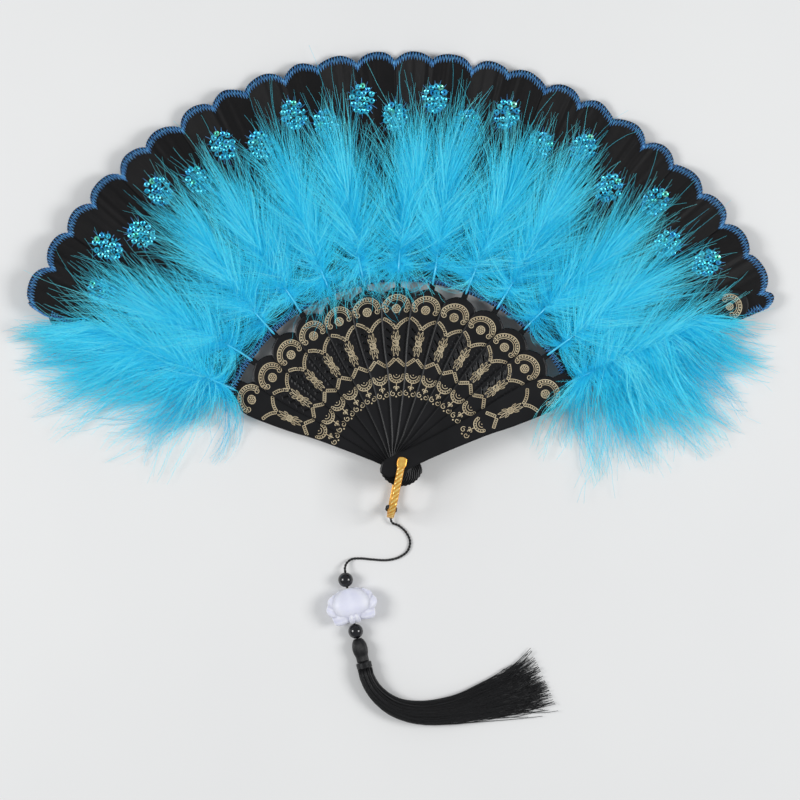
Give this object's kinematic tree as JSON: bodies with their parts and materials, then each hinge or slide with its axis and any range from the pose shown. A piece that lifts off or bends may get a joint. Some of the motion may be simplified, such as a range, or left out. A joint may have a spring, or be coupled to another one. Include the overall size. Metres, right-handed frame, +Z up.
{
  "type": "feather fan",
  "caption": "Opened folding fan with pierced sticks on one rivet, a pleated scalloped leaf, marabou plumes, a gilt carrying ring, and a beaded tassel pendant.",
  "frame": {"origin": "middle of the rivet's back face, which the fan rests on", "axes": "+Z up from the table that the opened fan lies on, +X to the right of the opened fan, +Y from the rivet towards the middle of the leaf's edge"},
  "size_m": [0.4056, 0.363, 0.0251],
  "materials": {
    "lacquer": "moulded black plastic, half gloss, with pale gold print",
    "steel": "blackened, polished",
    "gilt": "bright gilt with engraved lines",
    "satin": "pleated satin with a blue stitched edge and sequins",
    "marabou": "soft dyed down",
    "thread": "silky twisted thread",
    "glass_bead": "polished",
    "frosted": "frosted, carved"
  },
  "bodies": {
    "blade_01": {"back_guard": "lacquer", "rivet_pin": "steel", "rivet_back_cap": "steel", "leaf_gore_01": "satin", "feather_01": "marabou", "down_left": "marabou"},
    "blade_02": {"stick_02": "lacquer", "leaf_gore_02": "satin", "feather_02": "marabou"},
    "blade_03": {"stick_03": "lacquer", "leaf_gore_03": "satin", "feather_03": "marabou"},
    "blade_04": {"stick_04": "lacquer", "leaf_gore_04": "satin", "feather_04": "marabou"},
    "blade_05": {"stick_05": "lacquer", "leaf_gore_05": "satin", "feather_05": "marabou"},
    "blade_06": {"stick_06": "lacquer", "leaf_gore_06": "satin", "feather_06": "marabou"},
    "blade_07": {"stick_07": "lacquer", "leaf_gore_07": "satin", "feather_07": "marabou"},
    "blade_08": {"stick_08": "lacquer", "leaf_gore_08": "satin", "feather_08": "marabou"},
    "blade_09": {"stick_09": "lacquer", "leaf_gore_09": "satin", "feather_09": "marabou"},
    "blade_10": {"stick_10": "lacquer", "leaf_gore_10": "satin", "feather_10": "marabou"},
    "blade_11": {"stick_11": "lacquer", "leaf_gore_11": "satin", "feather_11": "marabou"},
    "blade_12": {"stick_12": "lacquer", "leaf_gore_12": "satin", "feather_12": "marabou"},
    "blade_13": {"front_guard": "lacquer", "feather_13": "marabou", "down_right": "marabou"},
    "ring_link": {"ring": "gilt", "cord_loop": "thread"},
    "pendant": {"pendant_cord": "thread", "upper_bead": "glass_bead", "lotus_bead": "frosted", "lower_bead": "glass_bead", "tassel_head": "thread", "tassel_binding": "thread", "tassel_skirt": "thread"}
  },
  "joints": [
    {"name": "fold_02", "type": "hinge", "parent": "blade_01", "child": "blade_02", "pos_m": [0, 0, 0], "axis": [0.0456, 0.0549, 0.9975], "range_deg": [0, 10.9], "deforming": ["leaf_gore_01", "feather_01", "feather_02"]},
    {"name": "fold_03", "type": "hinge", "parent": "blade_02", "child": "blade_03", "pos_m": [0, 0, 0], "axis": [0.0456, 0.0549, 0.9975], "range_deg": [0, 10.9], "deforming": ["leaf_gore_02", "feather_03"]},
    {"name": "fold_04", "type": "hinge", "parent": "blade_03", "child": "blade_04", "pos_m": [0, 0, 0], "axis": [0.0456, 0.0549, 0.9975], "range_deg": [0, 10.9], "deforming": ["leaf_gore_03", "feather_04"]},
    {"name": "fold_05", "type": "hinge", "parent": "blade_04", "child": "blade_05", "pos_m": [0, 0, 0], "axis": [0.0456, 0.0549, 0.9975], "range_deg": [0, 10.9], "deforming": ["leaf_gore_04", "feather_05"]},
    {"name": "fold_06", "type": "hinge", "parent": "blade_05", "child": "blade_06", "pos_m": [0, 0, 0], "axis": [0.0456, 0.0549, 0.9975], "range_deg": [0, 10.9], "deforming": ["leaf_gore_05", "feather_06"]},
    {"name": "fold_07", "type": "hinge", "parent": "blade_06", "child": "blade_07", "pos_m": [0, 0, 0], "axis": [0.0456, 0.0549, 0.9975], "range_deg": [0, 10.9], "deforming": ["leaf_gore_06", "feather_07"]},
    {"name": "fold_08", "type": "hinge", "parent": "blade_07", "child": "blade_08", "pos_m": [0, 0, 0], "axis": [0.0456, 0.0549, 0.9975], "range_deg": [0, 10.9], "deforming": ["leaf_gore_07", "feather_08"]},
    {"name": "fold_09", "type": "hinge", "parent": "blade_08", "child": "blade_09", "pos_m": [0, 0, 0], "axis": [0.0456, 0.0549, 0.9975], "range_deg": [0, 10.9], "deforming": ["leaf_gore_08", "feather_09"]},
    {"name": "fold_10", "type": "hinge", "parent": "blade_09", "child": "blade_10", "pos_m": [0, 0, 0], "axis": [0.0456, 0.0549, 0.9975], "range_deg": [0, 10.9], "deforming": ["leaf_gore_09", "feather_10"]},
    {"name": "fold_11", "type": "hinge", "parent": "blade_10", "child": "blade_11", "pos_m": [0, 0, 0], "axis": [0.0456, 0.0549, 0.9975], "range_deg": [0, 10.9], "deforming": ["leaf_gore_10", "feather_11"]},
    {"name": "fold_12", "type": "hinge", "parent": "blade_11", "child": "blade_12", "pos_m": [0, 0, 0], "axis": [0.0456, 0.0549, 0.9975], "range_deg": [0, 10.9], "deforming": ["leaf_gore_11", "feather_12"]},
    {"name": "fold_13", "type": "hinge", "parent": "blade_12", "child": "blade_13", "pos_m": [0, 0, 0], "axis": [0.0456, 0.0549, 0.9975], "range_deg": [0, 10.9], "deforming": ["leaf_gore_12", "feather_13"]},
    {"name": "ring_swing", "type": "hinge", "parent": "blade_01", "child": "ring_link", "pos_m": [0, 0, 0], "axis": [0.0456, 0.0549, 0.9975], "range_deg": [-45, 10]},
    {"name": "pendant_swing", "type": "hinge", "parent": "ring_link", "child": "pendant", "pos_m": [-0.00513, -0.02591, 0.00331], "axis": [0, 0, 1], "range_deg": [-20, 20]}
  ],
  "couplings": [
    {"joint": "fold_03", "follows": "fold_02", "ratio": 1},
    {"joint": "fold_04", "follows": "fold_02", "ratio": 1},
    {"joint": "fold_05", "follows": "fold_02", "ratio": 1},
    {"joint": "fold_06", "follows": "fold_02", "ratio": 1},
    {"joint": "fold_07", "follows": "fold_02", "ratio": 1},
    {"joint": "fold_08", "follows": "fold_02", "ratio": 1},
    {"joint": "fold_09", "follows": "fold_02", "ratio": 1},
    {"joint": "fold_10", "follows": "fold_02", "ratio": 1},
    {"joint": "fold_11", "follows": "fold_02", "ratio": 1},
    {"joint": "fold_12", "follows": "fold_02", "ratio": 1},
    {"joint": "fold_13", "follows": "fold_02", "ratio": 1}
  ]
}
